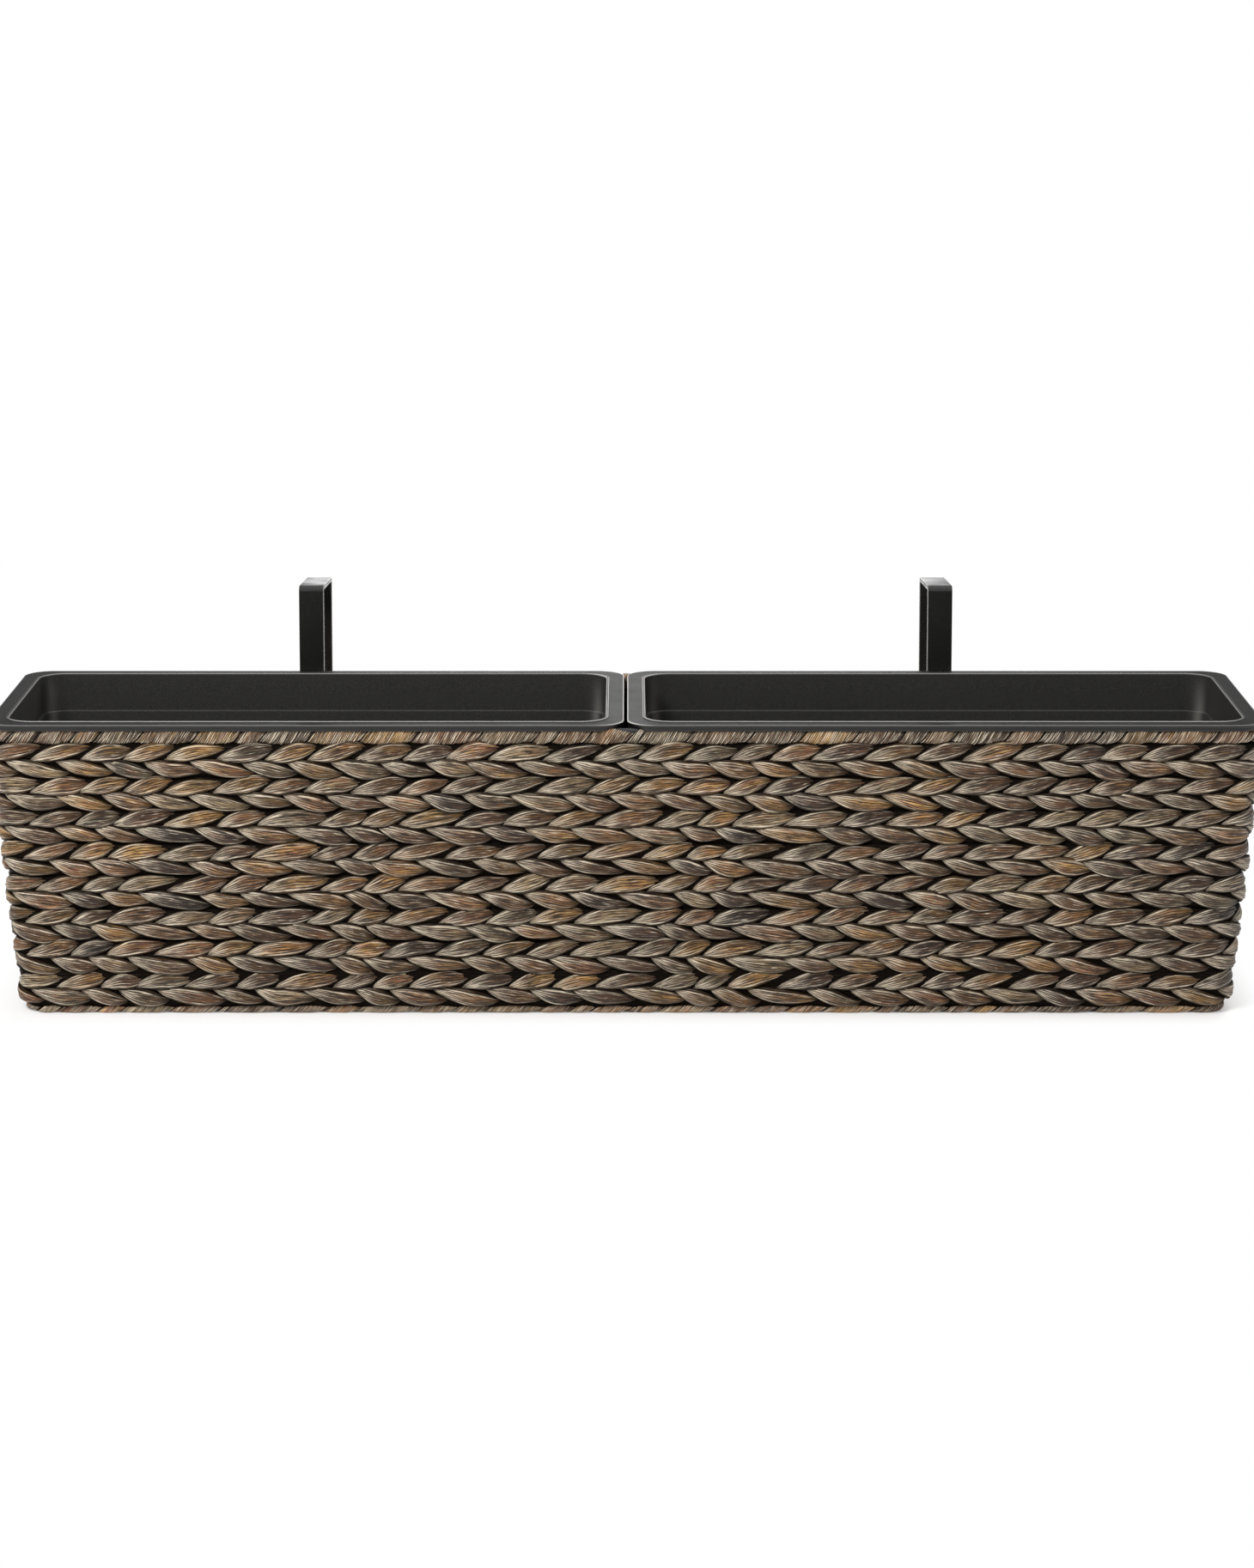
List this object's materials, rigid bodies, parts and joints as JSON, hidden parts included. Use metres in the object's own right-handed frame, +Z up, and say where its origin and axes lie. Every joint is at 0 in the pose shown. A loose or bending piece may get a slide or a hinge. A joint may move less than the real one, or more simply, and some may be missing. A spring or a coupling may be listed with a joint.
{
  "type": "balcony railing planter",
  "caption": "Long tapered planter basket of plaited leaf on a wire frame, with drop-in plastic liners and flat steel railing hooks at the back.",
  "frame": {"origin": "on the ground, under the middle of the whole part's box", "axes": "+X along the basket, +Y towards the railing, +Z up"},
  "size_m": [0.799, 0.2712, 0.2454],
  "materials": {
    "frame_wire": "black powder coat",
    "leaf_wrap": "wound dyed leaf",
    "leaf_plait": "plaited dyed water hyacinth, lightly varnished",
    "hanger_steel": "satin black powder coat",
    "fastener_steel": "zinc plated",
    "liner_plastic": "fine grained, moulded"
  },
  "bodies": {
    "root": {"frame_top_ring": "frame_wire", "frame_bottom_ring": "frame_wire", "frame_corner_posts": "frame_wire", "frame_front_posts": "frame_wire", "frame_back_posts": "frame_wire", "frame_end_posts": "frame_wire", "frame_base_bars": "frame_wire", "hanger_plate_left": "frame_wire", "hanger_plate_right": "frame_wire", "rim_wrap_top": "leaf_wrap", "rim_wrap_bottom": "leaf_wrap", "plait_course_1": "leaf_plait", "plait_course_2": "leaf_plait", "plait_course_3": "leaf_plait", "plait_course_4": "leaf_plait", "plait_course_5": "leaf_plait", "plait_course_6": "leaf_plait", "plait_course_7": "leaf_plait", "plait_course_8": "leaf_plait", "base_plait_1": "leaf_plait", "base_plait_2": "leaf_plait", "base_plait_3": "leaf_plait", "base_plait_4": "leaf_plait", "base_plait_5": "leaf_plait", "base_plait_6": "leaf_plait", "base_plait_7": "leaf_plait", "hanger_left": "hanger_steel", "hanger_right": "hanger_steel", "hanger_screws": "fastener_steel", "hanger_washers": "fastener_steel"},
    "liner_left": {"liner_left": "liner_plastic"},
    "liner_right": {"liner_right": "liner_plastic"}
  },
  "joints": [
    {"name": "liner_left_lift", "type": "slide", "parent": "root", "child": "liner_left", "axis": [0, 0, 1], "range_m": [0, 0.18]},
    {"name": "liner_right_lift", "type": "slide", "parent": "root", "child": "liner_right", "axis": [0, 0, 1], "range_m": [0, 0.18]}
  ]
}
